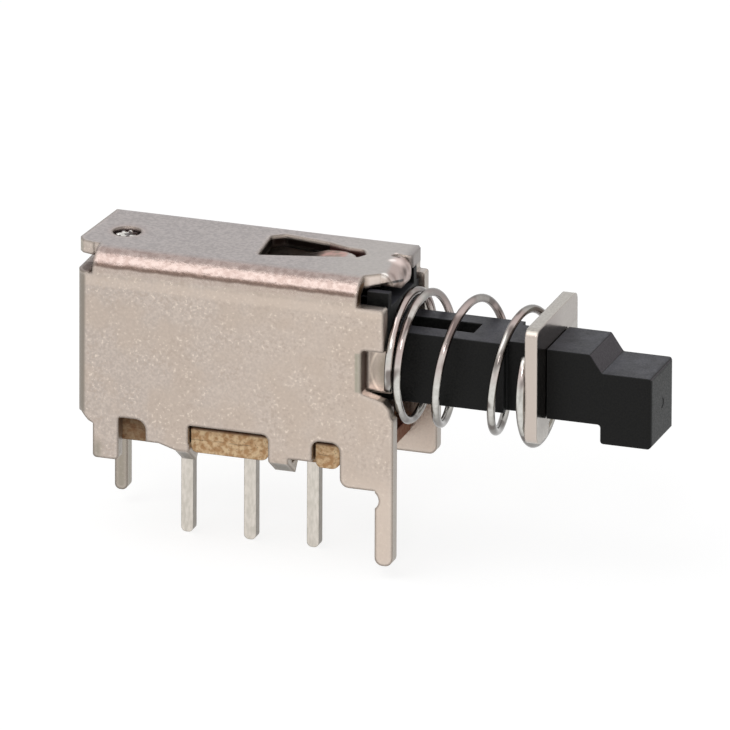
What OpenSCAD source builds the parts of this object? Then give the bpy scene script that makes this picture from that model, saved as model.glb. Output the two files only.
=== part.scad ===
// Self-locking push switch for a printed circuit board, one changeover pole.
// +X points along the push rod, +Z away from the board, and Z = 0 is the board's face.
// The origin lies on the middle terminal. All sizes are in millimetres.

/* [Frame] */
// Outer width of the folded steel frame
frame_w = 5; // [4.8:0.05:5.6]
// Height of the frame above the circuit board
frame_h = 8.2; // [8:0.05:9.2]
// Thickness of the frame's sheet
sheet_t = 0.5; // [0.45:0.05:0.6]
// Outer radius of the long fold beside the terminals' -Y side
fold_r = 0.88; // [0.66:0.01:0.9]
// Distance from the middle terminal to the frame's rear face
frame_rear = 6.15; // [6.1:0.05:7]
// Distance from the middle terminal to the spring's seat on the frame
frame_front = 6.03; // [5.95:0.01:6.3]
// Distance that the lower front corner stands ahead of the spring's seat
nose_step = 0.4; // [0.2:0.05:0.5]
// Length of the two frame legs below the circuit board's face
leg_reach = 2.95; // [2:0.05:4]
// Width of the front frame leg
leg_w = 0.7; // [0.5:0.05:0.75]
// Diameter of the hole that holds the lock pin's head
pivot_hole_d = 1.1; // [1:0.05:1.2]
// Distance from the middle terminal back to that hole
pivot_back = 4.98; // [4.8:0.02:5.05]

/* [Terminals] */
// Spacing of the three terminals
pitch = 2.5; // [2.45:0.01:2.55]
// Width of a terminal along the row
pin_w = 0.48; // [0.4:0.02:0.6]
// Thickness of a terminal across the row
pin_t = 0.4; // [0.3:0.02:0.5]
// Length of a terminal below the circuit board's face
pin_reach = 3.45; // [2.5:0.05:4.5]
// Thickness of the contact pad on the terminal board
pad_t = 0.2; // [0.15:0.01:0.22]

/* [Terminal board] */
// Thickness of the terminal board
board_t = 0.97; // [0.85:0.01:1]
// Height of the terminal board's underside above the circuit board
board_lift = 0.57; // [0.54:0.01:0.65]

/* [Push rod] */
// Travel of the push rod from its stop to its deepest point
travel = 3; // [2.6:0.05:3]
// Travel at which the rod locks
lock_travel = 2.2; // [2:0.05:2.3]
// Width of the rod
rod_w = 2.6; // [2.3:0.05:2.7]
// Height of the rod
rod_h = 2.75; // [2.6:0.05:2.9]
// Height of the rod's axis above the circuit board
rod_z = 4.65; // [4.6:0.01:4.7]
// Distance from the spring's seat to the rod's tip
rod_reach = 10.17; // [9.8:0.01:12]
// Drop of the tip's cap seat below the rod
tip_drop = 0.7; // [0.5:0.05:0.9]
// Length of the tip's cap seat
tip_len = 1.95; // [1.6:0.05:2.2]

/* [Spring and retainer] */
// Outer diameter of the return spring
spring_d = 5.2; // [5.1:0.02:5.3]
// Diameter of the spring's wire
wire_d = 0.32; // [0.28:0.01:0.36]
// Length of the spring at rest
spring_len = 5.53; // [5.3:0.01:5.8]
// Turns of the spring
spring_turns = 4.15; // [3.5:0.05:5]
// Thickness of the spring retainer
retainer_t = 0.48; // [0.4:0.02:0.5]
// Width of the spring retainer
retainer_w = 4.8; // [4.5:0.05:4.9]
// Height of the spring retainer
retainer_h = 4.62; // [4.4:0.01:4.7]
// Width of the retainer's fork slot, which the rod's neck fits
fork_slot_w = 1.9; // [1.7:0.05:2]

/* [Latch] */
// Diameter of the lock pin's wire
lock_wire_d = 0.5; // [0.4:0.02:0.52]
// Depth of the cam track in the slide
track_depth = 0.6; // [0.5:0.05:0.7]
// Thickness of the contact clip's strip
clip_t = 0.15; // [0.12:0.01:0.2]
// Width of the contact clip
clip_w = 1.4; // [1:0.05:1.5]

/* [Fits] */
// Running clearance on each side of sliding and turning parts
slip = 0.05; // [0.03:0.01:0.06]
// Gap where two still parts seat on each other
seat_gap = 0.01; // [0.01:0.005:0.02]

/* [Hidden] */

$fn = 48;
cut = 1;

// Frame, seen from the side and from above
half_w = frame_w / 2;
inner_half_w = half_w - sheet_t;
under_top = frame_h - sheet_t;
nose_x = frame_front + nose_step;
// Folds: the long one towards -Y is open, the one towards +Y is coined, the others are tight
near_fold_x = [-frame_rear + 0.65, frame_front - 1.06];
far_fold_x = [-frame_rear, frame_front - 0.23];
far_fold_r = sheet_t * 0.7;
tight_fold_r = sheet_t;
flap_fold_x = -frame_rear + tight_fold_r;
// Front edge of each wall: [beside the spring seat, under the spring's first turn, at the foot]
near_front = [frame_front, frame_front + 0.3, nose_x];
far_front = [frame_front + 0.1, frame_front + 0.2, nose_x + 0.22];
coil_low = rod_z - 1.68;
corner_relief_z = frame_h - 1;
leg_fillet_r = 0.4;
rear_leg_w = leg_w - 0.2;
rim = 0.86;
flap_step_z = 1.45;
flap_low = 1.75;
flap_top = under_top - 0.35;
notch_rise = 0.17;
notch_top = board_lift + board_t + notch_rise;

// Openings in the wall's lower edge: [rear, front, rear corner, front corner].
// The terminal board's ears reach into the last two.
ear_notches = [[-4.46, -3.36, 0.1, 0.4], [-1.69, 1.5, 0.1, 0.25], [3.22, 4.34, 0.3, 0.35]];
ear_half_w = half_w - 0.27;
board_half_w = inner_half_w - 0.25;
// Lugs bent inward under the terminal board: [rear, front]
lugs = [[-2.19, -1.65], [1.5, 2.28]];
lug_ramp_x = -2.85;
lug_bend_z = 0.66;
lug_low = 0.02;
// Outer and inner corner of a lug's end, as [Y, Z] on the -Y side
lug_end = [[-1.62, lug_low], [-1.32, lug_low + 0.38]];

// Spring seat: a tab pressed inward out of each wall, in a slot open to the front
seat_tab_h = 1.7;
seat_tab_low = rod_z - seat_tab_h / 2 - 0.1;
seat_slot_h = seat_tab_h + 0.1;
seat_slot_x = frame_front - 0.88;
seat_tab_face = rod_w / 2 + slip;
seat_tab_x = [seat_slot_x - 0.35, frame_front + 0.1];

// Tongue that presses the lock pin down, cut out of the top plate.
// Its drop below the plate is given from the root to the end as [X, drop].
tongue_bends = [[3.75, 0], [2.66, 0.17], [0.6, 0.86]];
tongue_end_x = tongue_bends[2].x;
tongue_end_z = under_top - tongue_bends[2].y;
tongue_path = [
    [tongue_end_x, -0.65],
    [3.3, 0],
    [3.75, -0.2],
    [4.15, 0],
    [3.95, 0.36],
    [3.4, 0.8],
    [3.05, 0.94],
    [2.66, 1.05],
    [tongue_end_x, 1.35],
];
window_path = [
    [0.46, -0.77, 0.1],
    [4.1, 0.22, 0.05],
    [4.32, 0.6, 0.2],
    [4.05, 1.05, 0.15],
    [3.45, 1.07, 0],
    [2.54, 1.4, 0],
    [0.75, 1.68, 0.15],
    [0.28, 1.36, 0.15],
];

// Front end of the top plate: a lobe folded down beside a flat nose
lobe_y = [-1.25, 0.92];
lobe_x = frame_front - 0.05;
lobe_bottom = frame_h - 0.85;
slit_y = [lobe_y[1], lobe_y[1] + 0.1];
slit_hole = [lobe_x - 0.6, lobe_y[1] - 0.06, 0.1];
plate_nose_x = frame_front - 0.04;

// Rod and slide
rod_top = rod_z + rod_h / 2;
rod_bottom = rod_z - rod_h / 2;
rod_end = frame_front + rod_reach;
slide_half_w = inner_half_w - 2 * slip;
slide_front = seat_tab_x[0] - 0.03;
slide_rear = -frame_rear + sheet_t + 0.25 + travel;
rail_bottom = board_lift + board_t + slip;
tray_z = lock_z() - lock_wire_d / 2 - slip;
tray_half_w = 1.4;
tray_wall_top = tongue_end_z - 0.09;
slide_head_x = [5, frame_front - 0.08];
slide_head_top = tray_wall_top + 0.25;
slide_ear_y = [-fold_y(), lobe_y[0] - 0.07];
slide_head_bottom = rod_z + seat_tab_h / 2 + 0.2;
neck_w = fork_slot_w - 0.04;
pocket_w = 1.04;
pocket_depth = 0.8;
pocket_end = frame_front + 2.92;
gate_mark = [0.4, 0.02];

// Spring and retainer
spring_rear = frame_front + seat_gap;
spring_sag = 0.24;
retainer_x = spring_rear + spring_len + seat_gap;
retainer_z = rod_z + 0.14;
fork_top = rod_top - 0.5;
neck_x = [retainer_x - 1.2, retainer_x + retainer_t + 0.03];

// Latch: places in the slide with the rod at its stop
lock_tip = [1.6, -0.25];
lock_full_y = -0.85;
lock_len = norm(lock_tip + [pivot_back, 0]);
lock_head_d = pivot_hole_d - 2 * slip;
lock_bend_r = 0.45;
track_z = tray_z - track_depth;
heart_x = lock_tip.x + lock_travel - lock_wire_d / 2;
heart_y = 0.12;

// Contacts
pad_l = 1.9;
pad_w = 1.9;
pad_top = board_lift + board_t + pad_t;
clip_x = 1.4;
clip_foot = pad_top + 0.02;
clip_rise = 0.78;
clip_pocket_z = clip_foot + clip_t + clip_rise + 0.02;

// How far a notch's rounded corner reaches in over the top of the terminal board's ear
function corner_inset(r) = r > notch_rise ? r - sqrt(r * r - pow(r - notch_rise, 2)) : 0;
function lock_z() = tongue_end_z - slip - lock_wire_d / 2;
// Centre of a fold of outer radius r that joins the top plate to a wall
function fold_y(r = fold_r) = half_w - r;
function fold_z(r = fold_r) = frame_h - r;

// Points of an outline whose corners are given as [x, y, radius]
function rounded(path) = [
    for (i = [0:len(path) - 1])
        let (n = len(path), b = path[i], a = path[(i + n - 1) % n], c = path[(i + 1) % n])
            each corner([a.x, a.y], [b.x, b.y], [c.x, c.y], b[2])
];

// Arc of radius r that rounds the corner b between the points a and c
function corner(a, b, c, r, steps = 6) =
    r == 0 ? [b] :
    let (
        u = (a - b) / norm(a - b),
        v = (c - b) / norm(c - b),
        half = acos(u * v) / 2,
        start = b + u * r / tan(half),
        middle = b + (u + v) / norm(u + v) * r / sin(half),
        turn = cross(b - a, c - b) > 0 ? 1 : -1,
        from = atan2(start.y - middle.y, start.x - middle.x)
    )
    [for (i = [0:steps]) middle + r * [cos(from + turn * (180 - 2 * half) * i / steps),
                                       sin(from + turn * (180 - 2 * half) * i / steps)]];

// Turns an outline drawn in X and Z into a plate from y0 to y1
module plate_xz(y0, y1) {
    translate([0, y1, 0])
        rotate([90, 0, 0])
            linear_extrude(y1 - y0)
                children();
}

// Turns an outline drawn in Y and Z into a plate from x0 to x1
module plate_yz(x0, x1) {
    translate([x0, 0, 0])
        rotate([90, 0, 90])
            linear_extrude(x1 - x0)
                children();
}

// Box between two opposite corners
module block(low, high) {
    translate(low)
        cube(high - low);
}

// Quarter fold of the sheet with outer radius r, in the outline plane, centred on the origin
module fold_section(r) {
    difference() {
        intersection() {
            circle(r);
            translate([-r, 0])
                square(r);
        }
        if (r > sheet_t)
            circle(r - sheet_t);
    }
}

/* ---------- Frame ---------- */

// Side wall from rear_x to its front edge, without legs. Its rear foot starts at foot_x, and
// fold_x and r are the ends and the radius of its fold into the top plate.
module wall_outline(rear_x, foot_x, fold_x, r, front) {
    slot_low = rod_z - seat_slot_h / 2;
    difference() {
        polygon(rounded([
            [rear_x, fold_z(r), 0],
            [fold_x[1], fold_z(r), 0],
            [fold_x[1], corner_relief_z, 0.05],
            [front[0], corner_relief_z, 0.1],
            [front[0], slot_low - 0.2, 0.05],
            [front[1] - 0.06, slot_low - 0.45, 0.05],
            [front[1], coil_low, 0],
            [front[2], coil_low - 0.1, 0.1],
            [front[2], 0, 0.3],
            [ear_notches[2][1], 0, 0.35],
            [ear_notches[2][1], rim, 0],
            [lugs[0][1], rim, 0],
            [lugs[0][1], lug_bend_z, 0],
            [lugs[0][0], lug_bend_z, 0],
            [lug_ramp_x, rim, 0],
            [ear_notches[0][0], rim, 0],
            [ear_notches[0][0], 0, 0.12],
            [foot_x, 0, 0.15],
            [foot_x, flap_step_z - 0.1, 0],
            [rear_x, flap_step_z, 0],
        ]));
        for (notch = ear_notches)
            polygon(rounded([
                [notch[0], rim - cut, 0],
                [notch[0], notch_top, notch[2]],
                [notch[1], notch_top, notch[3]],
                [notch[1], rim - cut, 0],
            ]));
        polygon(rounded([
            [seat_slot_x, slot_low + 0.05, 0.15],
            [seat_slot_x, slot_low + seat_slot_h, 0.15],
            [front[0] + cut, slot_low + seat_slot_h, 0],
            [front[0] + cut, slot_low - 0.45, 0],
        ]));
    }
}

// Leg with a rounded tip and a round relief beside its root
module leg(x0, x1, relief_x) {
    tip_r = (x1 - x0) * 0.42;
    difference() {
        polygon(rounded([
            [x0, 0.4, 0],
            [x1, 0.4, 0],
            [x1, -leg_reach, tip_r],
            [x0, -leg_reach, tip_r],
        ]));
        translate([relief_x, -leg_fillet_r + 0.02])
            circle(leg_fillet_r);
    }
}

// Lug bent inward from the wall's lower edge, up against the terminal board's underside
module lug(span) {
    under = board_lift - seat_gap;
    plate_yz(span[0], span[1])
        polygon(rounded([
            [-half_w, rim + 0.1, 0],
            [-half_w, lug_bend_z, 0.2],
            [lug_end[0].x, lug_end[0].y, 0.05],
            [lug_end[1].x, lug_end[1].y, 0.05],
            [lug_end[1].x - 0.2, under, 0],
            [-inner_half_w, under, 0],
            [-inner_half_w, rim + 0.1, 0],
        ]));
}

// Tab beside the rod, set inward by about the sheet's thickness
module seat_tab() {
    outer = -seat_tab_face - sheet_t;
    translate([0, 0, seat_tab_low])
        linear_extrude(seat_tab_h)
            polygon(rounded([
                [seat_tab_x[0], -inner_half_w - 0.1, 0],
                [seat_slot_x - 0.02, -inner_half_w - 0.1, 0],
                [seat_slot_x + 0.06, outer, 0],
                [seat_tab_x[1], outer, 0.1],
                [seat_tab_x[1], -seat_tab_face, 0.1],
                [seat_slot_x - 0.1, -seat_tab_face, 0.1],
                [seat_tab_x[0], -inner_half_w, 0],
            ]));
}

// One wall with its lugs and its spring seat, on the -Y side
module wall(rear_x, foot_x, fold_x, r, front) {
    plate_xz(-half_w, -inner_half_w) {
        wall_outline(rear_x, foot_x, fold_x, r, front);
        children();
    }
    for (span = lugs)
        lug(span);
    seat_tab();
    translate([0, -fold_y(r), fold_z(r)])
        plate_yz(fold_x[0], fold_x[1])
            fold_section(r);
}

// Rear flap, folded round the rear end of the -Y wall
module rear_flap() {
    difference() {
        union() {
            translate([flap_fold_x, -fold_y(tight_fold_r), flap_step_z])
                linear_extrude(flap_top - flap_step_z)
                    rotate(90)
                        fold_section(tight_fold_r);
            block([-frame_rear, -fold_y(tight_fold_r), flap_step_z],
                  [-frame_rear + sheet_t, inner_half_w - 0.15, flap_top]);
        }
        plate_xz(-frame_w, frame_w)
            polygon([
                [flap_fold_x, flap_step_z - cut],
                [flap_fold_x, flap_step_z],
                [-frame_rear + 0.2, flap_low],
                [-frame_rear - cut, flap_low],
                [-frame_rear - cut, flap_step_z - cut],
            ]);
    }
}

// Flat part of the top plate
module top_outline() {
    relief_x = near_fold_x[0] - 0.26;
    relief_y = -fold_y() + 0.09;
    difference() {
        polygon(rounded([
            [-frame_rear - 0.3, relief_y + 0.4, 0.3],
            [-frame_rear - 0.08, relief_y + 0.12, 0.2],
            [relief_x, relief_y - 0.03, 0],
            [relief_x, relief_y, 0],
            [near_fold_x[0], relief_y, 0],
            [near_fold_x[0], -fold_y(), 0],
            [near_fold_x[1], -fold_y(), 0],
            [lobe_x - tight_fold_r, lobe_y[0], 0],
            [lobe_x - tight_fold_r, slit_y[1], 0],
            [plate_nose_x, slit_y[1], 0.15],
            [plate_nose_x, fold_y(far_fold_r) - 0.15, 0.1],
            [far_fold_x[1], fold_y(far_fold_r), 0],
            [-frame_rear, fold_y(far_fold_r), 0],
        ]));
        translate([-pivot_back, 0])
            circle(d = pivot_hole_d);
        polygon(rounded(window_path));
        translate([slit_hole.x, slit_hole.y])
            circle(slit_hole[2]);
        translate([slit_hole.x, slit_y[0]])
            square([lobe_x - slit_hole.x, slit_y[1] - slit_y[0]]);
    }
}

// Tongue cut out of the top plate's window and bent down onto the lock pin
module tongue() {
    top = [for (bend = tongue_bends) [bend.x, frame_h - bend.y]];
    bottom = [for (i = [len(top) - 1:-1:0]) [top[i].x, top[i].y - sheet_t]];
    root_x = max([for (corner = tongue_path) corner.x]);
    intersection() {
        translate([0, 0, tongue_end_z - cut])
            linear_extrude(frame_h)
                polygon(tongue_path);
        plate_xz(-half_w, half_w)
            polygon(concat([[root_x, frame_h]], top, bottom, [[root_x, under_top]]));
    }
}

// Lobe at the top plate's front, folded down over the slide
module front_lobe() {
    intersection() {
        plate_xz(lobe_y[0], lobe_y[1]) {
            translate([lobe_x - tight_fold_r, fold_z(tight_fold_r)])
                mirror([1, 0])
                    fold_section(tight_fold_r);
            translate([lobe_x - sheet_t, lobe_bottom])
                square([sheet_t, fold_z(tight_fold_r) - lobe_bottom]);
        }
        plate_yz(lobe_x - tight_fold_r, lobe_x)
            polygon(rounded([
                [lobe_y[0], frame_h, 0],
                [lobe_y[1], frame_h, 0],
                [lobe_y[1], lobe_bottom, 0.25],
                [lobe_y[0] + 1, lobe_bottom, 0.3],
                [lobe_y[0], lobe_bottom + 0.4, 0.1],
            ]));
    }
}

module frame() {
    color([0.76, 0.72, 0.67]) {
        // Wall towards -Y, with the front leg
        wall(flap_fold_x, -frame_rear + 0.69, near_fold_x, fold_r, near_front)
            leg(nose_x - leg_w, nose_x, nose_x - leg_w - 0.25);
        // Wall towards +Y, with the rear leg
        mirror([0, 1, 0])
            wall(-frame_rear, -frame_rear + rear_leg_w / 2, far_fold_x, far_fold_r, far_front)
                leg(-frame_rear, -frame_rear + rear_leg_w, -frame_rear + rear_leg_w + 0.25);
        rear_flap();
        translate([0, 0, under_top])
            linear_extrude(sheet_t)
                top_outline();
        tongue();
        front_lobe();
    }
}

/* ---------- Terminal board and terminals ---------- */

module terminal_board() {
    board_x = [-frame_rear + sheet_t + 0.2, frame_front - 0.33];
    board_top = board_lift + board_t;
    ear_gap = 0.04;
    color([0.72, 0.55, 0.33])
        difference() {
            union() {
                // The lower front edge is cut back
                plate_xz(-board_half_w, board_half_w)
                    polygon([
                        [board_x[0], board_lift],
                        [board_x[1] - 0.35, board_lift],
                        [board_x[1], board_lift + 0.42],
                        [board_x[1], board_top],
                        [board_x[0], board_top],
                    ]);
                for (notch = [ear_notches[1], ear_notches[2]])
                    plate_xz(-ear_half_w, ear_half_w)
                        polygon(rounded([
                            [notch[0] + corner_inset(notch[2]) + ear_gap, board_lift, 0.25],
                            [notch[1] - corner_inset(notch[3]) - ear_gap, board_lift, 0.33],
                            [notch[1] - corner_inset(notch[3]) - ear_gap, board_top, 0.05],
                            [notch[0] + corner_inset(notch[2]) + ear_gap, board_top, 0.05],
                        ]));
            }
            for (i = [-1:1])
                translate([i * pitch, 0, board_lift - cut])
                    linear_extrude(board_t + 2 * cut)
                        square([pin_w + 2 * seat_gap, pin_t + 2 * seat_gap], center = true);
        }
}

// Terminal in place i of the row: a pin through the board with a contact pad on top
module terminal(i) {
    color([0.83, 0.8, 0.76])
        translate([i * pitch, 0, 0]) {
            plate_xz(-pin_t / 2, pin_t / 2)
                polygon(rounded([
                    [-pin_w / 2, pad_top - pad_t / 2, 0],
                    [pin_w / 2, pad_top - pad_t / 2, 0],
                    [pin_w / 2, -pin_reach, pin_w * 0.4],
                    [-pin_w / 2, -pin_reach, pin_w * 0.4],
                ]));
            translate([0, 0, pad_top - pad_t + seat_gap])
                linear_extrude(pad_t - seat_gap)
                    polygon(rounded([
                        [-pad_l / 2, -pad_w / 2, 0.3],
                        [pad_l / 2, -pad_w / 2, 0.3],
                        [pad_l / 2, pad_w / 2, 0.3],
                        [-pad_l / 2, pad_w / 2, 0.3],
                    ]));
        }
}

module terminal_rear() {
    terminal(-1);
}

module terminal_common() {
    terminal(0);
}

module terminal_front() {
    terminal(1);
}

/* ---------- Push rod with its slide ---------- */

// Rod seen from the side, with the stepped cap seat at its tip
module rod_outline() {
    tip_top = rod_top - tip_drop;
    tip_x = rod_end - tip_len;
    polygon(rounded([
        [slide_front - cut, rod_bottom, 0],
        [slide_front - cut, rod_top, 0],
        [tip_x - 0.48, rod_top, 0.12],
        [tip_x, tip_top, 0.12],
        [rod_end, tip_top, 0.15],
        [rod_end, rod_bottom - tip_drop - 0.05, 0.15],
        [tip_x - 0.05, rod_bottom - tip_drop - 0.05, 0.12],
        [tip_x - 0.05, rod_bottom, 0.12],
    ]));
}

// Outer edge of the cam track that the lock pin's tip runs in
module track_outline() {
    back = lock_tip.x - 0.5;
    front = lock_tip.x + travel + lock_wire_d / 2 + 0.13;
    side = tray_half_w - 0.1;
    polygon(rounded([
        [back, -0.65, 0.2],
        [back + 0.9, -1.05, 0.3],
        [front - 0.7, -side, 0.3],
        [front, -side, 0.3],
        [front, side, 0.3],
        [back + 1.1, side, 0.3],
        [back, 0.65, 0.2],
    ]));
}

// Heart that the lock pin's tip goes round, with the locking notch in its front
module heart_outline() {
    lobe = 0.4;
    polygon(rounded([
        [heart_x - 1.35, heart_y, 0.1],
        [heart_x, heart_y - lobe - 0.02, 0.12],
        [heart_x + 0.3, heart_y - lobe, 0.08],
        [heart_x, heart_y, 0.2],
        [heart_x + 0.3, heart_y + lobe, 0.08],
        [heart_x, heart_y + lobe + 0.02, 0.12],
    ]));
}

module slide() {
    difference() {
        union() {
            block([slide_rear, -slide_half_w, rail_bottom],
                  [slide_front, slide_half_w, tray_wall_top]);
            block([slide_front - cut, -slide_half_w, slide_head_bottom],
                  [slide_head_x[1], slide_half_w, slide_head_top]);
            // Upright ears of the head beside the frame's lobe
            for (side = [0, 1])
                mirror([0, side, 0])
                    block([slide_head_x[0] + 0.1, slide_ear_y[0], slide_head_bottom],
                          [slide_head_x[1], slide_ear_y[1], under_top - 0.1]);
        }
        // Tray for the lock pin, open to the rear
        block([slide_rear - cut, -tray_half_w, tray_z],
              [slide_head_x[0], tray_half_w, frame_h]);
        // Slope from the head down to the tray's walls
        plate_xz(-half_w, half_w)
            polygon([
                [slide_front - 2 * cut, tray_wall_top],
                [slide_front - 0.3, tray_wall_top],
                [slide_front + 0.1, slide_head_top + 0.1],
                [slide_front - 2 * cut, slide_head_top + 0.1],
            ]);
        // Cam track round the heart
        translate([0, 0, track_z])
            linear_extrude(track_depth + cut)
                difference() {
                    track_outline();
                    heart_outline();
                }
        // Gap between the rails, over the contact pads
        block([slide_rear - cut, -pad_w / 2 - 0.3, rail_bottom - cut],
              [slide_front + cut, pad_w / 2 + 0.3, clip_foot + clip_t + 0.35]);
        // Pocket for the contact clip
        block([clip_x - pitch * 0.82, -clip_w / 2 - 0.1, rail_bottom - cut],
              [clip_x + pitch * 0.82, clip_w / 2 + 0.1, clip_pocket_z]);
    }
}

module plunger() {
    color([0.14, 0.14, 0.15]) {
        slide();
        difference() {
            intersection() {
                plate_xz(-rod_w / 2, rod_w / 2)
                    rod_outline();
                // Rounded upright edges of the tip
                translate([0, 0, -cut])
                    linear_extrude(frame_h + 2 * cut)
                        polygon(rounded([
                            [slide_front - cut, -rod_w / 2, 0],
                            [rod_end, -rod_w / 2, 0.15],
                            [rod_end, rod_w / 2, 0.15],
                            [slide_front - cut, rod_w / 2, 0],
                        ]));
            }
            // The cam track runs on into the rod's root
            translate([0, 0, track_z])
                linear_extrude(frame_h)
                    difference() {
                        track_outline();
                        heart_outline();
                    }
            // Neck behind the front block
            for (side = [-1, 1])
                block([neck_x[0], side > 0 ? neck_w / 2 : -half_w, 0],
                      [neck_x[1], side > 0 ? half_w : -neck_w / 2, frame_h]);
            // Groove that the retainer's fork drops into
            block([retainer_x - 0.03, -half_w, fork_top - 0.03], [neck_x[1], half_w, frame_h]);
            // Moulding pocket in the rod's top
            block([frame_front, -pocket_w / 2, rod_top - pocket_depth],
                  [pocket_end, pocket_w / 2, frame_h]);
            // Gate mark on the end face
            translate([rod_end - gate_mark[1], 0, rod_z - tip_drop])
                rotate([0, 90, 0])
                    cylinder(d = gate_mark[0], h = cut);
        }
    }
}

/* ---------- Contact clip ---------- */

// Height of the clip's underside at a distance u from its middle
function clip_wave(u) = clip_foot + clip_rise * (1 + cos(180 * u / (pitch / 2))) / 2;

module contact_clip() {
    reach = pitch * 0.7;
    steps = 28;
    us = [for (i = [0:steps]) -reach + 2 * reach * i / steps];
    color([0.8, 0.62, 0.4])
        plate_xz(-clip_w / 2, clip_w / 2)
            polygon(concat(
                [for (u = us) [clip_x + u, clip_wave(u)]],
                [for (i = [steps:-1:0]) [clip_x + us[i], clip_wave(us[i]) + clip_t]]
            ));
}

/* ---------- Return spring ---------- */

// Share of the open length that is reached after n turns, flat at both closed ends
function open_share(n) =
    let (u = min(1, max(0, (n - 0.9) / (spring_turns - 1.2)))) u * u * (3 - 2 * u);

// Place of the wire's centre along X after n turns
function coil_x(n) =
    spring_rear + wire_d / 2 + coil_step * n
    + (spring_len - wire_d - coil_step * spring_turns) * open_share(n);

coil_step = wire_d + 0.015;

// Height of the coil's centre after n turns; the free end of the spring sags a little
function coil_z(n) = rod_z - spring_sag * max(0, n - (spring_turns - 1.45));

module return_spring() {
    r = (spring_d - wire_d) / 2;
    sides = 10;
    per_turn = 28;
    rings = round(spring_turns * per_turn);
    // The wire starts just below the middle of the -Y side and winds over the top
    points = [
        for (k = [0:rings], j = [0:sides - 1])
            let (
                n = spring_turns * k / rings,
                a = 194 - 360 * n,
                b = 360 * j / sides,
                rr = r + wire_d / 2 * cos(b)
            )
            [coil_x(n) + wire_d / 2 * sin(b), rr * cos(a), coil_z(n) + rr * sin(a)]
    ];
    faces = [
        for (k = [0:rings - 1], j = [0:sides - 1])
            let (i = (j + 1) % sides)
                each [
                    [k * sides + j, (k + 1) * sides + j, (k + 1) * sides + i],
                    [k * sides + j, (k + 1) * sides + i, k * sides + i],
                ]
    ];
    first_end = [[for (j = [0:sides - 1]) j]];
    last_end = [[for (j = [sides - 1:-1:0]) rings * sides + j]];
    color([0.8, 0.79, 0.78])
        polyhedron(points, concat(faces, first_end, last_end), convexity = 8);
}

/* ---------- Spring retainer ---------- */

module spring_retainer() {
    low = retainer_z - retainer_h / 2;
    high = retainer_z + retainer_h / 2;
    side = retainer_w / 2;
    slot = fork_slot_w / 2;
    color([0.74, 0.71, 0.67])
        plate_yz(retainer_x, retainer_x + retainer_t)
            polygon(rounded([
                [-side, low, 0.5],
                [-side, high, 0.35],
                [side, high, 0.35],
                [side, low, 0.5],
                [slot, low, 0.3],
                [slot, fork_top, 0.05],
                [-slot, fork_top, 0.05],
                [-slot, low, 0.3],
            ]));
}

/* ---------- Lock pin ---------- */

// Quarter bend of the pin's wire, from +X round to -Z
module lock_bend() {
    rotate([90, 0, 0])
        rotate_extrude(angle = 90)
            translate([lock_bend_r, 0])
                circle(d = lock_wire_d, $fn = 32);
}

module lock_pin() {
    reach = lock_len - lock_bend_r;
    tip_z = track_z + 0.1;
    head_z = under_top + 0.02;
    color([0.78, 0.77, 0.76])
        translate([-pivot_back, 0, 0])
            rotate(atan2(lock_tip.y, lock_tip.x + pivot_back)) {
                // Upset head in the frame's hole
                translate([0, 0, head_z])
                    cylinder(d = lock_head_d, h = frame_h - 0.05 - head_z);
                translate([0, 0, lock_z() + lock_bend_r])
                    cylinder(d = lock_wire_d, h = head_z - lock_z() - lock_bend_r + 0.1);
                translate([lock_bend_r, 0, lock_z() + lock_bend_r])
                    rotate([0, 180, 0])
                        lock_bend();
                translate([lock_bend_r, 0, lock_z()])
                    rotate([0, 90, 0])
                        cylinder(d = lock_wire_d, h = reach - lock_bend_r);
                translate([reach, 0, lock_z() - lock_bend_r])
                    lock_bend();
                translate([lock_len, 0, tip_z])
                    cylinder(d = lock_wire_d, h = lock_z() - lock_bend_r - tip_z);
            }
}

frame();
terminal_board();
terminal_rear();
terminal_common();
terminal_front();
plunger();
contact_clip();
return_spring();
spring_retainer();
lock_pin();
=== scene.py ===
"""Self-locking push switch for a circuit board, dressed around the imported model.

+X points along the push rod and +Z away from the circuit board. Lengths are in metres, apart
from those whose name or comment says mm and the places inside the materials, which are in mm.
"""

import math

import bpy
from mathutils import Matrix, Vector


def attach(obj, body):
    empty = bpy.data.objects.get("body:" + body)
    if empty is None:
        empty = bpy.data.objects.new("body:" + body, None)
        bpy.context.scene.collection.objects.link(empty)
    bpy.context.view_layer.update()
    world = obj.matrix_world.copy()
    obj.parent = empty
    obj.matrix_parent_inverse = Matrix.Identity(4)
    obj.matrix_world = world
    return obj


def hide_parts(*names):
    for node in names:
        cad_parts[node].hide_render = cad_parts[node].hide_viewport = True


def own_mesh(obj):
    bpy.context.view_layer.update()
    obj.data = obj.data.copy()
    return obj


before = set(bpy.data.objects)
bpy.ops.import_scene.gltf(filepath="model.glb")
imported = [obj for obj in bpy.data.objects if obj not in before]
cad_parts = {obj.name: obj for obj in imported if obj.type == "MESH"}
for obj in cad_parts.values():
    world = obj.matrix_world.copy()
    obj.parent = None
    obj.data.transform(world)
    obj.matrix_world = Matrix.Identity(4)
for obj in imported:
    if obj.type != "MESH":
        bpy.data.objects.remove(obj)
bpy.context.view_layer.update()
MM = 0.001


# ---------- Camera: the photograph's viewing angle ----------

AZIMUTH, ELEVATION, ROLL = math.radians(18.72), math.radians(20.273), math.radians(0.247)
PIXELS_PER_MM, FOCAL_PX, SIDE_PX, SENSOR_MM = 26.641, 28716.0, 730.0, 36
AIM_MM, AIM_PX = Vector((4.597, 0, 0)), (367.706, 465.765)  # this point shows at this pixel


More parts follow.
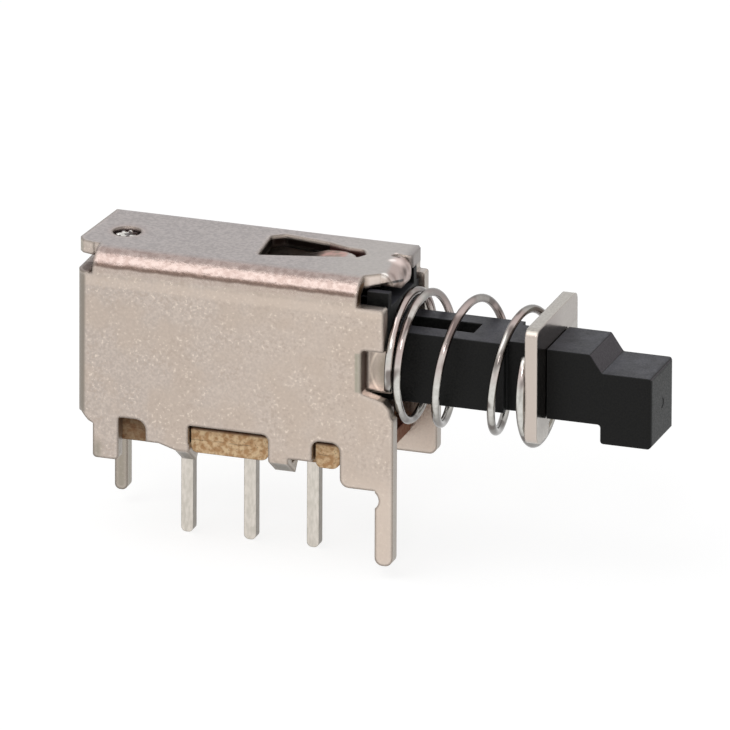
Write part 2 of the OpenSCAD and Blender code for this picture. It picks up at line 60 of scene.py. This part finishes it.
def set_camera():
    level = Vector((math.cos(AZIMUTH), math.sin(AZIMUTH), 0))
    ahead = Vector((-math.sin(AZIMUTH) * math.cos(ELEVATION),
                    math.cos(AZIMUTH) * math.cos(ELEVATION), -math.sin(ELEVATION)))
    upright = level.cross(ahead)
    right = math.cos(ROLL) * level + math.sin(ROLL) * upright
    up = math.cos(ROLL) * upright - math.sin(ROLL) * level
    distance = FOCAL_PX / PIXELS_PER_MM
    aside, below = ((pixel - SIDE_PX / 2) / PIXELS_PER_MM for pixel in AIM_PX)
    place = AIM_MM - aside * right + below * up - distance * ahead
    data = bpy.data.cameras.new("camera")
    data.sensor_width = SENSOR_MM
    data.lens = FOCAL_PX / SIDE_PX * SENSOR_MM
    data.clip_start, data.clip_end = 0.1, 20
    camera = bpy.data.objects.new("camera", data)
    bpy.context.scene.collection.objects.link(camera)
    camera.matrix_world = Matrix((
        (right.x, up.x, -ahead.x, place.x * MM),
        (right.y, up.y, -ahead.y, place.y * MM),
        (right.z, up.z, -ahead.z, place.z * MM),
        (0, 0, 0, 1),
    ))
    bpy.context.scene.camera = camera


# ---------- Node helpers ----------

def srgb(*levels):
    """Linear colour of an sRGB colour with 0 to 255 a channel."""
    return tuple((c / 255 / 12.92) if c <= 10 else ((c / 255 + 0.055) / 1.055) ** 2.4
                 for c in levels)


class Nodes:
    """A node tree whose inputs take plain values as well as other nodes' sockets."""

    def __init__(self, tree):
        self.tree = tree

    def add(self, kind, inputs=None, **settings):
        node = self.tree.nodes.new("ShaderNode" + kind)
        for key, value in settings.items():
            setattr(node, key, value)
        for key, value in (inputs or {}).items():
            self.feed(node.inputs[key], value)
        return node

    def feed(self, socket, value):
        if isinstance(value, bpy.types.NodeSocket):
            self.tree.links.new(value, socket)
        elif isinstance(value, tuple) and len(value) == 3 and socket.type == "RGBA":
            socket.default_value = (*value, 1)
        else:
            socket.default_value = value

    def calc(self, operation, a, b=0.0):
        return self.add("Math", {0: a, 1: b}, operation=operation).outputs[0]

    def seen(self):
        """1 where the backdrop itself is seen, also in metal, and 0 where it only lights."""
        path = self.add("LightPath").outputs
        mirrored = self.calc("MAXIMUM", path["Is Glossy Ray"], path["Is Transmission Ray"])
        return self.calc("MAXIMUM", path["Is Camera Ray"], mirrored)


class Surface(Nodes):
    """A material whose patterns are laid out in the object's own millimetres.

    A mask is 1 where something shows and 0 elsewhere.
    """

    def __init__(self, name, roughness=0.5, metallic=0.0, specular=0.5):
        self.material = bpy.data.materials.new(name)
        self.material.use_nodes = True
        super().__init__(self.material.node_tree)
        self.shader = self.tree.nodes["Principled BSDF"]
        self.shader.inputs["Roughness"].default_value = roughness
        self.shader.inputs["Metallic"].default_value = metallic
        self.shader.inputs["Specular IOR Level"].default_value = specular
        coords = self.add("TexCoord").outputs
        self.mm = self.add("VectorMath", {0: coords["Object"], "Scale": 1 / MM},
                           operation="SCALE").outputs[0]
        self.x, self.y, self.z = self.add("SeparateXYZ", {0: self.mm}).outputs
        self.nx, self.ny, self.nz = self.add("SeparateXYZ", {0: coords["Normal"]}).outputs

    def noise(self, per_mm, detail=2.0, stretch=(1, 1, 1)):
        vector = self.add("VectorMath", {0: self.mm, 1: stretch}, operation="MULTIPLY").outputs[0]
        return self.add("TexNoise", {"Vector": vector, "Scale": per_mm,
                                     "Detail": detail}).outputs[0]

    def step(self, value, low, high, out=(0.0, 1.0)):
        """A soft step from out[0] at low to out[1] at high."""
        return self.add("MapRange", {"Value": value, "From Min": low, "From Max": high,
                                     "To Min": out[0], "To Max": out[1]},
                        interpolation_type="SMOOTHSTEP").outputs[0]

    def both(self, *masks):
        product = masks[0]
        for mask in masks[1:]:
            product = self.calc("MULTIPLY", product, mask)
        return product

    def either(self, a, b):
        return self.calc("MAXIMUM", a, b)

    def band(self, value, low, high, soft):
        """Mask of the values between low and high."""
        return self.both(self.step(value, low - soft, low + soft),
                         self.step(value, high + soft, high - soft))

    def box(self, low, high, soft=0.03):
        """Mask of a box between two corners."""
        return self.both(*(self.band(value, a, b, soft)
                           for value, a, b in zip((self.x, self.y, self.z), low, high)))

    def near(self, place, inner, outer):
        """Mask of a ball: 1 within inner mm of place and 0 beyond outer mm."""
        distance = self.add("VectorMath", {0: self.mm, 1: place},
                            operation="DISTANCE").outputs["Value"]
        return self.step(distance, outer, inner)

    def along(self, direction):
        """How far a point lies along direction, in mm."""
        return self.add("VectorMath", {0: self.mm, 1: direction},
                        operation="DOT_PRODUCT").outputs["Value"]

    def edges(self, reach_mm):
        """Mask of the object's edges."""
        rounded = self.add("Bevel", {"Radius": reach_mm * MM}, samples=6).outputs[0]
        flat = self.add("NewGeometry").outputs["Normal"]
        alike = self.add("VectorMath", {0: rounded, 1: flat},
                         operation="DOT_PRODUCT").outputs["Value"]
        return self.step(alike, 0.99, 0.86)

    def mix(self, share, a, b):
        node = self.add("Mix", data_type="RGBA")
        for index, value in ((0, share), (6, a), (7, b)):
            self.feed(node.inputs[index], value)
        return node.outputs[2]

    def mottle(self, pattern, low, high, a, b):
        """Tone a where pattern is below low, and tone b above high."""
        return self.mix(self.step(pattern, low, high), a, b)

    def paint(self, colour, tone, mask, share=1.0):
        """colour with tone laid over it where mask is 1, at most at share."""
        return self.mix(mask if share == 1.0 else self.both(mask, share), colour, tone)

    def finish(self, colour, height=None, depth_mm=0.01, roughness=None, edge_mm=0.0):
        """The material, with relief of depth_mm for each unit of height and soft edges."""
        self.feed(self.shader.inputs["Base Color"], colour)
        if roughness is not None:
            self.feed(self.shader.inputs["Roughness"], roughness)
        normal = None
        if edge_mm:
            normal = self.add("Bevel", {"Radius": edge_mm * MM}, samples=6).outputs[0]
        if height is not None:
            bump = self.add("Bump", {"Height": height, "Distance": depth_mm * MM,
                                     "Strength": 1.0})
            if normal:
                self.feed(bump.inputs["Normal"], normal)
            normal = bump.outputs[0]
        if normal:
            self.feed(self.shader.inputs["Normal"], normal)
        return self.material


# ---------- Frame steel, from the walls to the small marks on them ----------

def tint_walls(s, grain):
    """Mottled walls with patches of flecks, warmer towards the rod and on the front leg."""
    colour = s.mottle(grain, 0.35, 0.68, srgb(186, 174, 165), srgb(203, 190, 180))
    colour = s.paint(colour, srgb(208, 192, 178), s.step(s.x, -6.0, 6.0, (0.0, 0.5)))
    cloud = s.step(s.noise(0.7, 2), 0.4, 0.62, (0.0, 0.55))
    colour = s.paint(colour, srgb(196, 180, 166), cloud)
    fleck = s.noise(9, 2)
    patch = s.step(s.noise(0.8, 1), 0.35, 0.6, (0.25, 0.8))
    colour = s.paint(colour, srgb(230, 216, 202), s.both(s.step(fleck, 0.6, 0.72), patch))
    colour = s.paint(colour, srgb(186, 171, 159), s.both(s.step(fleck, 0.46, 0.34), patch))
    colour = s.paint(colour, srgb(216, 200, 186), s.band(s.z, 6.85, 7.22, 0.08), 0.4)
    front_leg = s.both(s.step(s.z, 0.9, -0.4, (0.0, 0.7)), s.step(s.x, 4.0, 4.3))
    return s.paint(colour, srgb(217, 202, 189), front_leg)


def tint_top_plate(s, colour):
    # Upward faces are painted greyer than the walls: a painted reflection of what lies above the
    # top.
    plate = s.mottle(s.noise(8, 3), 0.36, 0.64, srgb(154, 148, 148), srgb(174, 167, 166))
    plate = s.paint(plate, srgb(178, 174, 170), s.step(s.x, 1.5, 5.0, (0.0, 0.6)))
    return s.paint(colour, plate, s.step(s.nz, 0.75, 0.98), 0.92)


def tint_long_fold(s, colour, fold, drag):
    """A pinkish painted reflection on the stretched fold, with a painted dark reflection line
    under it.
    """
    # Painted reflection: pinkish over the fold's upper part.
    pink = s.mottle(drag, 0.36, 0.62, srgb(158, 138, 132), srgb(180, 162, 156))
    colour = s.paint(colour, pink, s.both(fold, s.step(s.nz, 0.3, 0.42, (0.25, 0.85))))
    # Painted dark reflection line along the fold, wandering a little.
    wander = s.calc("ADD", s.nz, s.both(s.noise(1.6, 2), 0.14))
    line = s.both(fold, s.band(wander, 0.38, 0.56, 0.06))
    return s.paint(colour, srgb(112, 92, 82), line, 0.85)


def tint_cut_faces_and_shade(s, colour):
    """Cut ends, undersides, the plate's rear end and the whole rear flap are greyer; the rear leg
    and the lugs get painted shade.
    """
    ends = s.both(s.step(s.calc("ABSOLUTE", s.nx), 0.6, 0.8), s.step(s.x, -6.05, -6.0))
    under = s.both(s.step(s.nz, -0.6, -0.8), s.step(s.z, 2.0, 1.9))
    off_lobe = s.calc("SUBTRACT", 1.0, s.box((5.4, -1.3, 7.3), (6.05, 0.95, 8.3)))
    sheared = s.both(s.either(ends, under), off_lobe)
    colour = s.paint(colour, srgb(150, 147, 141), sheared, 0.75)
    plate_end = s.both(s.step(s.nx, -0.3, -0.7), s.step(s.z, 7.55, 7.65))
    # The rear leg gets the same grey as painted shade, standing back in shadow.
    rear_leg = s.both(s.step(s.z, 0.9, 0.4), s.step(s.x, -5.0, -5.3))
    colour = s.paint(colour, srgb(146, 141, 128), s.either(plate_end, rear_leg), 0.7)
    # Painted shade on the lugs bent in under the board.
    lugs = s.both(s.step(s.z, 0.6, 0.45), s.step(s.nz, -0.25, -0.5),
                  s.band(s.x, -2.9, 2.4, 0.05))
    colour = s.paint(colour, srgb(114, 108, 99), lugs, 0.85)
    flap = s.both(s.step(s.nx, -0.12, -0.4), s.step(s.z, 7.6, 7.5))
    return s.paint(colour, srgb(138, 131, 122), flap, 0.9)


def tint_openings(s, colour):
    """The window, with painted shade on its cut walls and a painted pinkish reflection on the
    drawn tongue and at its root, and the pin's hole with painted shade on its walls.
    """
    walls = s.step(s.nz, 0.5, 0.4)
    # Painted shade on the window's cut walls.
    rim = s.both(s.box((0.2, -0.9, 7.5), (4.4, 1.8, 8.06), 0.02), walls)
    colour = s.paint(colour, srgb(58, 46, 41), rim)
    # Painted pinkish reflection on the cut walls at the tongue's root.
    root = s.both(s.box((2.6, -0.9, 7.5), (4.45, 1.9, 8.18), 0.03), walls)
    colour = s.paint(colour, srgb(150, 98, 92), root, 0.7)
    # Painted pinkish reflection on the tongue, turning to painted shade at the rear where it dips
    # deepest.
    tongue_reflection = s.mottle(s.noise(3, 3), 0.4, 0.6, srgb(190, 150, 142), srgb(150, 128, 116))
    tongue_reflection = s.mottle(s.x, 2.2, 2.75, srgb(50, 38, 34), tongue_reflection)
    tongue = s.both(s.box((0.5, -0.7, 7.0), (3.95, 1.5, 8.18), 0.02), s.step(s.nz, 0.5, 0.6))
    colour = s.paint(colour, tongue_reflection, tongue)
    # Painted shade on the walls of the pin's hole.
    pierced = s.both(s.box((-5.6, -0.6, 7.6), (-4.36, 0.6, 8.17)), s.step(s.nz, 0.5, 0.3))
    colour = s.paint(colour, srgb(104, 80, 78), pierced)
    return s.paint(colour, srgb(164, 146, 144), s.near((-4.98, 0.1, 8.2), 0.5, 0.95), 0.4)


def tint_spring_seat(s, colour):
    """Painted shade on the riser in the near wall's slot and on its rounded left edge, a painted
    highlight on its lip, and on the bowed seat behind it a painted highlight line with painted
    shade past it.
    """
    # Painted shade on the riser.
    riser = s.box((5.12, -2.46, 3.6), (5.24, -1.84, 5.6), 0.02)
    colour = s.paint(colour, srgb(60, 40, 34), riser, 0.9)
    # Painted shade on the slot's rounded left edge.
    corner = s.box((4.92, -2.6, 3.85), (5.17, -2.4, 5.4), 0.05)
    colour = s.paint(colour, srgb(142, 146, 130), corner, 0.6)
    # Painted highlight on the upward-facing lip.
    lip = s.both(s.box((4.95, -2.6, 3.2), (5.8, -1.9, 3.95)), s.step(s.nz, 0.3, 0.6))
    colour = s.paint(colour, srgb(252, 238, 234), lip, 0.9)
    seat = s.box((5.2, -1.95, 3.7), (6.2, -1.75, 5.55))
    off_middle = s.calc("ABSOLUTE", s.calc("SUBTRACT", s.z, 4.6))
    highlight_x = s.calc("ADD", 5.33, s.both(s.calc("POWER", off_middle, 2.0), 0.5))
    past = s.calc("SUBTRACT", s.x, highlight_x)
    # Painted shade on the seat past the highlight line.
    behind = s.both(seat, s.step(past, 0.0, 0.5, (0.0, 0.8)))
    colour = s.paint(colour, srgb(146, 136, 122), behind)
    # Painted highlight line down the bowed seat.
    seat_highlight = s.both(seat, s.band(past, -0.05, 0.05, 0.04))
    return s.paint(colour, srgb(238, 222, 206), seat_highlight, 0.8)


def tint_notches(s, colour):
    """Dark where the flap's fold and the long fold were notched, brassy at the front notch."""
    rear = s.both(s.box((-6.3, -2.6, 7.2), (-5.35, -1.4, 7.75)), s.step(s.nz, 0.3, 0.6))
    colour = s.paint(colour, srgb(94, 80, 78), rear, 0.8)
    front = s.both(s.box((4.9, -2.6, 7.22), (5.04, -1.5, 7.95)), s.step(s.nx, 0.5, 0.8))
    return s.paint(colour, srgb(150, 108, 58), front, 0.75)


def tint_lobe(s, colour, fall, dents):
    """The punched-down lobe: painted shade where it falls away, painted highlights on its
    shoulder and dents, a dark blot, painted shade in its slit, and a torn lip.
    """
    # Painted shade, mottled, where the lobe falls away past its root.
    fall_shade = s.mottle(dents, 0.4, 0.6, srgb(148, 132, 126), srgb(180, 163, 157))
    colour = s.paint(colour, fall_shade, fall)
    flank = s.both(s.box((5.1, -1.6, 7.5), (5.72, -1.1, 8.12), 0.08),
                   s.step(s.ny, -0.4, -0.7))
    colour = s.paint(colour, srgb(230, 216, 206), flank)
    for place, inner, outer, tone in (
            ((5.62, 0.35, 8.19), 0.08, 0.45, srgb(228, 210, 204)),  # painted highlight on the shoulder
            ((5.43, 0.33, 8.2), 0.05, 0.2, srgb(255, 246, 242)),    # painted glints on the dents
            ((5.64, -1.17, 8.17), 0.07, 0.2, srgb(255, 250, 246)),
            ((5.96, 0.22, 7.83), 0.0, 0.34, srgb(92, 78, 72)),      # dark blot
            ((5.33, 1.08, 8.2), 0.02, 0.12, srgb(236, 220, 214)),   # painted glint on the far side of the slit
            ((5.34, 0.84, 8.2), 0.05, 0.18, srgb(92, 66, 62)),      # painted shade in the slit
            ((5.52, 0.74, 8.2), 0.02, 0.14, srgb(92, 66, 62))):
        colour = s.paint(colour, tone, s.near(place, inner, outer))
    height = s.along((-0.3146, 0.2517, 0.9154))
    lip = s.mottle(height, 5.035, 5.01, srgb(40, 28, 24), srgb(150, 130, 120))
    torn = s.both(s.box((5.1, -1.6, 7.3), (6.1, 0.0, 8.1), 0.15), s.step(height, 5.125, 5.1))
    return s.paint(colour, lip, torn)


def tint_nose_and_edge_light(s, colour):
    """A darker free nose, and elsewhere a painted highlight along the edges with a painted dark
    line on the arris.
    """
    nose = s.both(s.box((5.4, 1.0, 7.7), (6.7, 2.6, 8.3)), s.step(s.x, 5.5, 6.0))
    colour = s.paint(colour, srgb(138, 132, 130), nose, 0.85)
    off_nose = s.step(nose, 0.2, 0.0)
    # Painted highlight along the edges, then a painted dark line nearer the arris.
    colour = s.paint(colour, srgb(226, 214, 204), s.both(off_nose, s.edges(0.35)), 0.45)
    return s.paint(colour, srgb(124, 114, 106), s.both(off_nose, s.edges(0.2)), 0.75)


def frame_steel():
    """Plated sheet: speckled matt walls, a top painted greyer as a reflection, sheared edges, a
    smoother long fold with painted reflection, and painted shade and highlights.
    """
    s = Surface("frame_steel", metallic=1.0)
    grain = s.noise(11, 3)
    fold = s.both(s.band(s.nz, 0.12, 0.985, 0.03), s.step(s.y, -1.55, -1.62),
                  s.step(s.z, 7.25, 7.32))
    drag = s.noise(4.2, 3)
    past_root = s.step(s.along((1, 0.149, 0)), 5.42, 5.62)
    fall = s.both(s.box((5.3, -1.6, 7.3), (6.1, 0.95, 8.3)), past_root)
    dents = s.noise(1.5, 1)

    colour = tint_walls(s, grain)
    colour = tint_top_plate(s, colour)
    colour = tint_long_fold(s, colour, fold, drag)
    colour = tint_cut_faces_and_shade(s, colour)
    colour = tint_openings(s, colour)
    colour = tint_spring_seat(s, colour)
    colour = tint_notches(s, colour)
    colour = tint_lobe(s, colour, fall, dents)
    colour = tint_nose_and_edge_light(s, colour)

    rough = s.calc("SUBTRACT", s.step(grain, 0.3, 0.75, (0.34, 0.44)), s.both(fold, 0.14))
    height = grain
    for relief in (s.both(fall, 16.0, s.calc("SUBTRACT", dents, 0.5)), s.both(fold, 3.2, drag),
                   s.both(s.noise(24, 2), 0.5)):
        height = s.calc("ADD", height, relief)
    return s.finish(colour, height, 0.007, rough, edge_mm=0.2)


# ---------- The other materials ----------

def terminal_metal():
    """Tinned strip, with painted shade on the sheared side that faces along the rod."""
    s = Surface("terminal_metal", metallic=1.0)
    grain = s.noise(9, 3, (1, 1, 0.35))
    colour = s.mottle(grain, 0.3, 0.7, srgb(202, 196, 186), srgb(224, 217, 208))
    # Painted shade on the side facing along the rod.
    colour = s.paint(colour, srgb(122, 116, 108), s.step(s.nx, 0.5, 0.8, (0.0, 0.9)))
    colour = s.paint(colour, srgb(120, 115, 108), s.edges(0.05), 0.5)
    return s.finish(colour, grain, 0.006, s.step(grain, 0.3, 0.7, (0.28, 0.42)), edge_mm=0.06)


def phenolic_board():
    """Punched paper laminate: mottled tan with brown flecks, and a darker upper edge that is part
    brown stain and part painted shade under the frame.
    """
    s = Surface("phenolic_board", roughness=0.6, specular=0.3)
    grain = s.noise(4.5, 4)
    colour = s.mottle(grain, 0.36, 0.64, srgb(206, 160, 114), srgb(252, 220, 176))
    fleck = s.step(s.noise(9, 3, (1, 1, 1.6)), 0.56, 0.7, (0.0, 0.6))
    colour = s.paint(colour, srgb(146, 102, 68), fleck)
    wavy_z = s.calc("ADD", s.z, s.both(s.noise(1.5, 2), 0.12))
    layer = s.both(s.band(wavy_z, 1.13, 1.17, 0.02),
                   s.step(s.noise(1.1, 1), 0.45, 0.6, (0.0, 0.5)))
    colour = s.paint(colour, srgb(104, 70, 48), layer)
    # Darker upper edge: part brown stain, part painted shade under the frame.
    colour = s.paint(colour, srgb(96, 58, 44), s.step(s.z, 1.43, 1.52, (0.0, 0.75)))
    colour = s.paint(colour, srgb(120, 52, 34), s.step(s.x, 5.3, 5.5, (0.0, 0.8)))
    # Painted shade on the board's side, seen deep in the rear notch.
    recess = s.both(s.step(s.x, -3.0, -3.2), s.step(s.y, -1.4, -1.6))
    colour = s.paint(colour, srgb(104, 72, 54), recess, 0.6)
    colour = s.paint(colour, srgb(110, 74, 50), s.edges(0.06), 0.5)
    return s.finish(colour, grain, 0.03, edge_mm=0.05)


def black_plastic():
    """Moulded black resin, with painted reflections that make upward faces and slopes paler,
    paler ends, and painted highlights along its edges.
    """
    s = Surface("black_plastic", specular=0.16)
    grain = s.noise(14, 3)
    colour = s.mottle(grain, 0.3, 0.7, srgb(17, 17, 17), srgb(28, 28, 27))
    # Painted reflection on upward faces, patchy.
    top_reflection = s.both(s.step(s.nz, 0.8, 0.98), s.step(s.noise(1.3, 3), 0.3, 0.7, (0.55, 1.0)))
    colour = s.paint(colour, srgb(74, 74, 80), top_reflection)
    # Painted reflection on the slopes.
    colour = s.paint(colour, srgb(72, 64, 71), s.band(s.nz, 0.4, 0.75, 0.1), 0.9)
    colour = s.paint(colour, srgb(58, 60, 60), s.step(s.nx, 0.7, 0.95, (0.0, 0.6)))
    # Painted highlight along the edges.
    colour = s.paint(colour, srgb(84, 84, 86), s.edges(0.07), 0.45)
    return s.finish(colour, grain, 0.008, s.step(grain, 0.3, 0.7, (0.4, 0.55)), edge_mm=0.07)


def clip_metal():
    """Phosphor bronze strip with fine lines along it."""
    s = Surface("clip_metal", metallic=1.0)
    grain = s.noise(6, 3, (0.3, 2, 1))
    colour = s.mottle(grain, 0.3, 0.7, srgb(196, 140, 90), srgb(226, 176, 122))
    return s.finish(colour, grain, 0.003, s.step(grain, 0.3, 0.7, (0.22, 0.36)))


def spring_wire():
    """Drawn nickel-plated wire, grey, with a painted pinkish reflection on its upper lengths,
    painted dark reflections in streaks, and a painted dark reflection where it turns away.
    """
    s = Surface("spring_wire", metallic=1.0)
    grain = s.noise(5, 2)
    colour = s.mottle(grain, 0.3, 0.7, srgb(196, 194, 188), srgb(212, 210, 205))
    # Painted pinkish reflection on the upper lengths of the coils.
    pink = s.both(s.step(s.z, 4.4, 5.6), s.step(s.noise(0.9, 1), 0.3, 0.6))
    colour = s.paint(colour, srgb(186, 164, 160), pink, 0.75)
    # Painted dark reflections in streaks.
    streak = s.step(s.noise(1.3, 0, (1.6, 1, 1)), 0.56, 0.7, (0.0, 0.75))
    colour = s.paint(colour, srgb(84, 70, 66), streak)
    # Painted dark reflection where the wire turns away from view.
    turned = s.add("LayerWeight", {"Blend": 0.5}).outputs["Facing"]
    colour = s.paint(colour, srgb(78, 72, 68), s.step(turned, 0.2, 0.75, (0.0, 0.85)))
    return s.finish(colour, grain, 0.0006, s.step(grain, 0.3, 0.7, (0.13, 0.18)))


def retainer_steel():
    """Plated plate, with a painted warm reflection on its near edge, painted shade where its face
    looks at the rod, and painted highlights and dark lines along its edges.
    """
    s = Surface("retainer_steel", metallic=1.0)
    grain = s.noise(10, 3)
    colour = s.mottle(grain, 0.3, 0.7, srgb(162, 157, 150), srgb(182, 177, 170))
    # Painted warm reflection on near-facing faces.
    colour = s.paint(colour, srgb(203, 190, 180), s.step(s.ny, -0.5, -0.9, (0.0, 0.85)))
    # Painted shade over the face above the rod, deeper towards the near side.
    face = s.step(s.nx, 0.5, 0.8)
    upper = s.both(face, s.step(s.z, 5.8, 6.1), s.step(s.y, 1.0, -0.8, (0.45, 0.78)))
    colour = s.paint(colour, srgb(130, 119, 114), upper)
    # Painted shade round the rod on the face.
    round_rod = s.both(face, s.box((10.0, -2.3, 2.75), (13.0, 2.6, 5.85), 0.5))
    colour = s.paint(colour, srgb(74, 66, 62), round_rod, 0.4)
    # Painted highlight along the edges, with a painted dark line nearer the arris.
    colour = s.paint(colour, srgb(222, 214, 206), s.edges(0.12), 0.4)
    colour = s.paint(colour, srgb(130, 124, 118), s.edges(0.05), 0.5)
    return s.finish(colour, grain, 0.0015, s.step(grain, 0.3, 0.7, (0.15, 0.24)), edge_mm=0.12)


def pin_wire():
    """Bright wire with a head that carries painted shade in patches and between its lobes."""
    s = Surface("pin_wire", metallic=1.0)
    grain = s.noise(6, 3)
    colour = s.mottle(grain, 0.3, 0.7, srgb(190, 187, 182), srgb(226, 223, 218))
    # Painted shade in patches and low between the head's lobes.
    head_shade = s.either(s.step(s.noise(3.6, 1), 0.53, 0.47), s.step(s.z, 8.09, 8.06))
    colour = s.paint(colour, srgb(62, 50, 48), s.both(s.step(s.z, 7.6, 7.7), head_shade))
    return s.finish(colour, grain, 0.006, s.step(grain, 0.3, 0.7, (0.12, 0.24)))


def dress_nodes():
    tin = terminal_metal()
    materials = {
        "frame": frame_steel(), "terminal_board": phenolic_board(), "terminal_rear": tin,
        "terminal_common": tin, "terminal_front": tin, "plunger": black_plastic(),
        "contact_clip": clip_metal(), "spring_retainer": retainer_steel(),
    }
    for name, material in materials.items():
        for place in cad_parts[name].material_slots:
            place.material = material


# ---------- New pieces ----------

def new_piece(name, points, faces, material, smooth=True):
    mesh = bpy.data.meshes.new(name)
    mesh.from_pydata(points, [], faces)
    mesh.validate()
    if smooth:
        mesh.polygons.foreach_set("use_smooth", [True] * len(mesh.polygons))
    mesh.materials.append(material)
    piece = bpy.data.objects.new(name, mesh)
    bpy.context.scene.collection.objects.link(piece)
    return piece


def ring_of(sides):
    """Angles of the points round a section."""
    return [2 * math.pi * j / sides for j in range(sides)]


def skin(rows, sides, start=0, flip=False):
    """Quads over rows of points round a form, and a cap on its first and last row."""
    faces = []
    for k in range(rows - 1):
        for j in range(sides):
            i = (j + 1) % sides
            a, b = start + k * sides, start + (k + 1) * sides
            quad = (a + j, b + j, b + i, a + i)
            faces.append((quad[0], *reversed(quad[1:])) if flip else quad)
    first = tuple(start + j for j in range(sides))
    last = tuple(start + (rows - 1) * sides + j for j in range(sides))
    faces.append(first[::-1] if flip else first)
    faces.append(last if flip else last[::-1])
    return faces


def ease(value):
    """A smooth rise from 0 at 0 to 1 at 1, level outside."""
    value = min(1, max(0, value))
    return value * value * (3 - 2 * value)


def make_spring():
    """Left-hand compression spring with closed ends, wound round the rod."""
    rear_mm, length, wire, outer, turns, axis_z = 6.04, 5.53, 0.32, 5.2, 4.15, 4.65
    start_angle, closed_step = 194, wire + 0.015
    closed_rear, open_turns = 0.9, turns - 1.2
    sag_from, sag_per_turn = turns - 1.4, 0.31
    flat_from, flat_over, flat_lift = turns - 0.85, 0.35, 0.24
    sides, rings = 18, round(turns * 72)
    rise = length - wire - closed_step * turns
    points = []
    for k in range(rings + 1):
        n = turns * k / rings
        # The last turn sags a little and lies flat against the retainer
        x = rear_mm + wire / 2 + closed_step * n + rise * ease((n - closed_rear) / open_turns)
        x = min(x + flat_lift * ease((n - flat_from) / flat_over), rear_mm + length - wire / 2)
        z = axis_z - sag_per_turn * max(0, n - sag_from)
        a = math.radians(start_angle - 360 * n)
        for b in ring_of(sides):
            reach = (outer - wire) / 2 + wire / 2 * math.cos(b)
            points.append(((x + wire / 2 * math.sin(b)) * MM, reach * math.cos(a) * MM,
                           (z + reach * math.sin(a)) * MM))
    spring = new_piece("spring_coil", points, skin(rings + 1, sides), spring_wire())
    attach(spring, "housing")
    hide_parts("return_spring")
    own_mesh(spring)


def tube(path, radius_mm, sides=16):
    """Points and faces of a round wire along path, all in mm."""
    points = []
    across = Vector((0, 1, 0))
    for k, place in enumerate(path):
        before, after = path[max(k - 1, 0)], path[min(k + 1, len(path) - 1)]
        along = (after - before).normalized()
        aside = across.cross(along).normalized()
        level = along.cross(aside)
        points += [place + radius_mm * (math.cos(b) * aside + math.sin(b) * level)
                   for b in ring_of(sides)]
    return points, skin(len(path), sides, flip=True)


def hammered_head(radius, top_z, rings=9, sides=84):
    """Points of a head with seven lobes round a dished middle, in mm, and its rows and sides."""
    lobe_angle, lobe_out, lobe_up, brim_drop = math.radians(293), 0.025, 0.065, 0.3
    points = []
    for k in range(rings + 1):
        share = k / rings
        for a in ring_of(sides):
            lobes = math.cos(7 * (a - lobe_angle))
            r = (radius + lobe_out * lobes) * max(share, 0.002)
            z = top_z + lobe_up * lobes * share ** 2 - brim_drop * share ** 9
            points.append(Vector((r * math.cos(a), r * math.sin(a), z)))
    return points, rings + 1, sides


def make_lock_pin():
    """Bent wire whose upper end is peened into an uneven head in the frame's hole."""
    pivot_x, bend_r, wire_r, level_z, head_z = -4.98, 0.45, 0.25, 6.54, 7.78
    reach, turn, foot_z = 6.585, math.radians(-2.176), 5.74
    bow = [math.radians(9 * k) for k in range(11)]  # a quarter turn
    path = [Vector((0, 0, head_z))]
    path += [Vector((bend_r - bend_r * math.cos(b), 0, level_z + bend_r - bend_r * math.sin(b)))
             for b in bow]
    path += [Vector((reach - bend_r + bend_r * math.sin(b), 0,
                     level_z - bend_r + bend_r * math.cos(b))) for b in bow]
    path.append(Vector((reach, 0, foot_z)))
    points, faces = tube(path, wire_r)
    head, rows, sides = hammered_head(radius=0.48, top_z=8.12)
    faces += skin(rows, sides, start=len(points))
    spin = Matrix.Rotation(turn, 3, "Z")
    placed = [(spin @ point + Vector((pivot_x, 0, 0))) * MM for point in points + head]
    pin = new_piece("lock_pin_wire", placed, faces, pin_wire())
    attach(pin, "latch")
    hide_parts("lock_pin")


# ---------- Studio ----------

def make_floor():
    """Pale floor under the pins; it is white to the eye and keeps the object's shadow."""
    half, z, seen_white = 3.0, -3.5 * MM, 0.77
    s = Surface("floor", roughness=0.9, specular=0.0)
    s.feed(s.shader.inputs["Emission Color"], (1.0, 1.0, 1.0))
    s.feed(s.shader.inputs["Emission Strength"], s.calc("MULTIPLY", s.seen(), seen_white))
    s.finish(s.mix(s.noise(0.02, 2), (0.33, 0.33, 0.33), (0.36, 0.36, 0.36)))
    corners = [(-half, -half, z), (half, -half, z), (half, half, z), (-half, half, z)]
    floor = new_piece("floor", corners, [(0, 1, 2, 3)], s.material, smooth=False)


def make_world():
    """White all round to the eye, and half as bright as a light."""
    world = bpy.data.worlds.new("world")
    bpy.context.scene.world = world
    world.use_nodes = True
    nodes = Nodes(world.node_tree)
    background = world.node_tree.nodes["Background"]
    background.inputs["Color"].default_value = (1, 1, 1, 1)
    level = nodes.add("MapRange", {"Value": nodes.seen(), "To Min": 0.55, "To Max": 1.0})
    nodes.feed(background.inputs["Strength"], level.outputs[0])


def add_lamp(name, place, side, power, target=(0.004, 0, 0.004)):
    data = bpy.data.lights.new(name, "AREA")
    data.shape = "RECTANGLE"
    data.size = data.size_y = side
    data.energy = power
    lamp = bpy.data.objects.new(name, data)
    bpy.context.scene.collection.objects.link(lamp)
    lamp.location = place
    lamp.rotation_mode = "QUATERNION"
    lamp.rotation_quaternion = (Vector(target) - Vector(place)).to_track_quat("-Z", "Y")


set_camera()
dress_nodes()
make_spring()
make_lock_pin()
make_floor()
make_world()
add_lamp("key", (-0.102, -0.165, 0.298), side=0.28, power=0.31)
add_lamp("glint", (0.08, -0.282, 0.197), side=0.07, power=0.15)
bpy.context.scene.view_settings.view_transform = "Standard"
